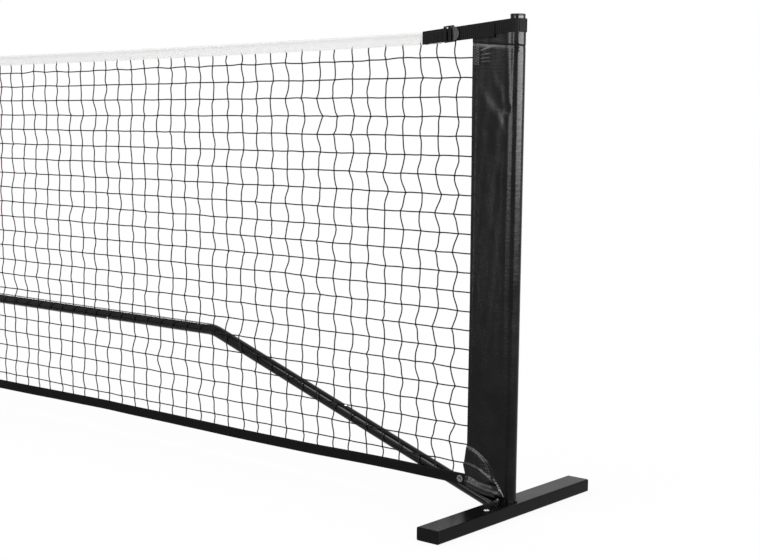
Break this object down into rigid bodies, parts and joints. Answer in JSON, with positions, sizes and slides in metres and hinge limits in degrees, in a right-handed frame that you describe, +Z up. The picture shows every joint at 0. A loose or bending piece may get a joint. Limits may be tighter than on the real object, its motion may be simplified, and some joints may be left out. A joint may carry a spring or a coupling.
{
  "type": "portable court net",
  "caption": "Portable court net: flat feet, upright posts and a jointed low tube frame carry a knotted net with a white headband, tensioned by a strap and buckle at each post.",
  "frame": {"origin": "on the floor at the middle of the net frame: the bottom centre of the bounding box, between the two post axes", "axes": "+X along the net to the right end as seen from the buckle side, +Y through the net away from the buckles, +Z up"},
  "size_m": [6.756, 0.5, 0.944],
  "materials": {
    "frame_steel": "semi-gloss powder coat",
    "post_steel": "semi-gloss powder coat",
    "cap_plastic": "moulded",
    "zinc_steel": "zinc plated",
    "rivet_alloy": "plain",
    "net_cord": "twisted cord",
    "band_white": "coated cloth",
    "cord_black": "braided cord",
    "tape_black": "woven tape",
    "eyelet_metal": "dull",
    "sleeve_vinyl": "glossy flexible vinyl",
    "webbing_black": "ribbed webbing",
    "buckle_plastic": "moulded"
  },
  "bodies": {
    "frame": {"foot_right": "frame_steel", "foot_left": "frame_steel", "foot_centre": "frame_steel", "foot_caps": "cap_plastic", "post_stub_right": "frame_steel", "post_stub_left": "frame_steel", "frame_spigot_right": "frame_steel", "frame_spigot_left": "frame_steel", "lower_tube_right": "frame_steel", "lower_tube_left": "frame_steel", "bend_tube_right": "frame_steel", "bend_tube_left": "frame_steel", "rail_outer_right": "frame_steel", "rail_outer_left": "frame_steel", "rail_middle_right": "frame_steel", "rail_middle_left": "frame_steel", "rail_inner_right": "frame_steel", "rail_inner_left": "frame_steel", "ferrules_right": "zinc_steel", "ferrules_left": "zinc_steel", "rivets_right": "rivet_alloy", "rivets_left": "rivet_alloy", "spring_clips_right": "zinc_steel", "spring_clips_left": "zinc_steel", "centre_hub": "frame_steel", "centre_post": "frame_steel", "centre_post_cap": "cap_plastic", "centre_pocket": "tape_black", "net_mesh": "net_cord", "headband": "band_white", "head_cord": "cord_black", "bottom_tape": "tape_black", "eyelets": "eyelet_metal", "sleeve_right": "sleeve_vinyl", "sleeve_left": "sleeve_vinyl", "anchor_strap_right": "webbing_black", "anchor_strap_left": "webbing_black", "post_strap_right": "webbing_black", "post_strap_left": "webbing_black"},
    "post_right": {"post_right": "post_steel", "post_cap_right": "cap_plastic"},
    "post_left": {"post_left": "post_steel", "post_cap_left": "cap_plastic"},
    "button_lower_right": {"button_lower_right": "zinc_steel"},
    "button_bend_right": {"button_bend_right": "zinc_steel"},
    "button_outer_right": {"button_outer_right": "zinc_steel"},
    "button_middle_right": {"button_middle_right": "zinc_steel"},
    "button_hub_right": {"button_hub_right": "zinc_steel"},
    "button_lower_left": {"button_lower_left": "zinc_steel"},
    "button_bend_left": {"button_bend_left": "zinc_steel"},
    "button_outer_left": {"button_outer_left": "zinc_steel"},
    "button_middle_left": {"button_middle_left": "zinc_steel"},
    "button_hub_left": {"button_hub_left": "zinc_steel"},
    "buckle_right": {"buckle_right": "buckle_plastic", "buckle_webbing_right": "webbing_black"},
    "buckle_left": {"buckle_left": "buckle_plastic", "buckle_webbing_left": "webbing_black"}
  },
  "joints": [
    {"name": "post_lift_right", "type": "slide", "parent": "frame", "child": "post_right", "axis": [0, 0, 1], "range_m": [0, 0.06]},
    {"name": "post_lift_left", "type": "slide", "parent": "frame", "child": "post_left", "axis": [0, 0, 1], "range_m": [0, 0.06]},
    {"name": "button_press_lower_right", "type": "slide", "parent": "frame", "child": "button_lower_right", "axis": [-0.3205, 0, -0.9473], "range_m": [0, 0.0032], "stiffness_N_per_m": 1000},
    {"name": "button_press_bend_right", "type": "slide", "parent": "frame", "child": "button_bend_right", "axis": [0, 0.848, 0.5299], "range_m": [0, 0.0032], "stiffness_N_per_m": 1000},
    {"name": "button_press_outer_right", "type": "slide", "parent": "frame", "child": "button_outer_right", "axis": [0, 0.848, 0.5299], "range_m": [0, 0.0032], "stiffness_N_per_m": 1000},
    {"name": "button_press_middle_right", "type": "slide", "parent": "frame", "child": "button_middle_right", "axis": [0, 0.848, 0.5299], "range_m": [0, 0.0032], "stiffness_N_per_m": 1000},
    {"name": "button_press_hub_right", "type": "slide", "parent": "frame", "child": "button_hub_right", "axis": [0, 0.848, 0.5299], "range_m": [0, 0.0032], "stiffness_N_per_m": 1000},
    {"name": "button_press_lower_left", "type": "slide", "parent": "frame", "child": "button_lower_left", "axis": [0.3205, 0, -0.9473], "range_m": [0, 0.0032], "stiffness_N_per_m": 1000},
    {"name": "button_press_bend_left", "type": "slide", "parent": "frame", "child": "button_bend_left", "axis": [0, 0.848, 0.5299], "range_m": [0, 0.0032], "stiffness_N_per_m": 1000},
    {"name": "button_press_outer_left", "type": "slide", "parent": "frame", "child": "button_outer_left", "axis": [0, 0.848, 0.5299], "range_m": [0, 0.0032], "stiffness_N_per_m": 1000},
    {"name": "button_press_middle_left", "type": "slide", "parent": "frame", "child": "button_middle_left", "axis": [0, 0.848, 0.5299], "range_m": [0, 0.0032], "stiffness_N_per_m": 1000},
    {"name": "button_press_hub_left", "type": "slide", "parent": "frame", "child": "button_hub_left", "axis": [0, 0.848, 0.5299], "range_m": [0, 0.0032], "stiffness_N_per_m": 1000},
    {"name": "buckle_tilt_right", "type": "hinge", "parent": "frame", "child": "buckle_right", "pos_m": [3.20378, -0.02265, 0.90771], "axis": [0.1019, 0, -0.9948], "range_deg": [0, 40]},
    {"name": "buckle_tilt_left", "type": "hinge", "parent": "frame", "child": "buckle_left", "pos_m": [-3.20378, -0.02265, 0.90771], "axis": [0.1019, 0, 0.9948], "range_deg": [0, 40]}
  ]
}
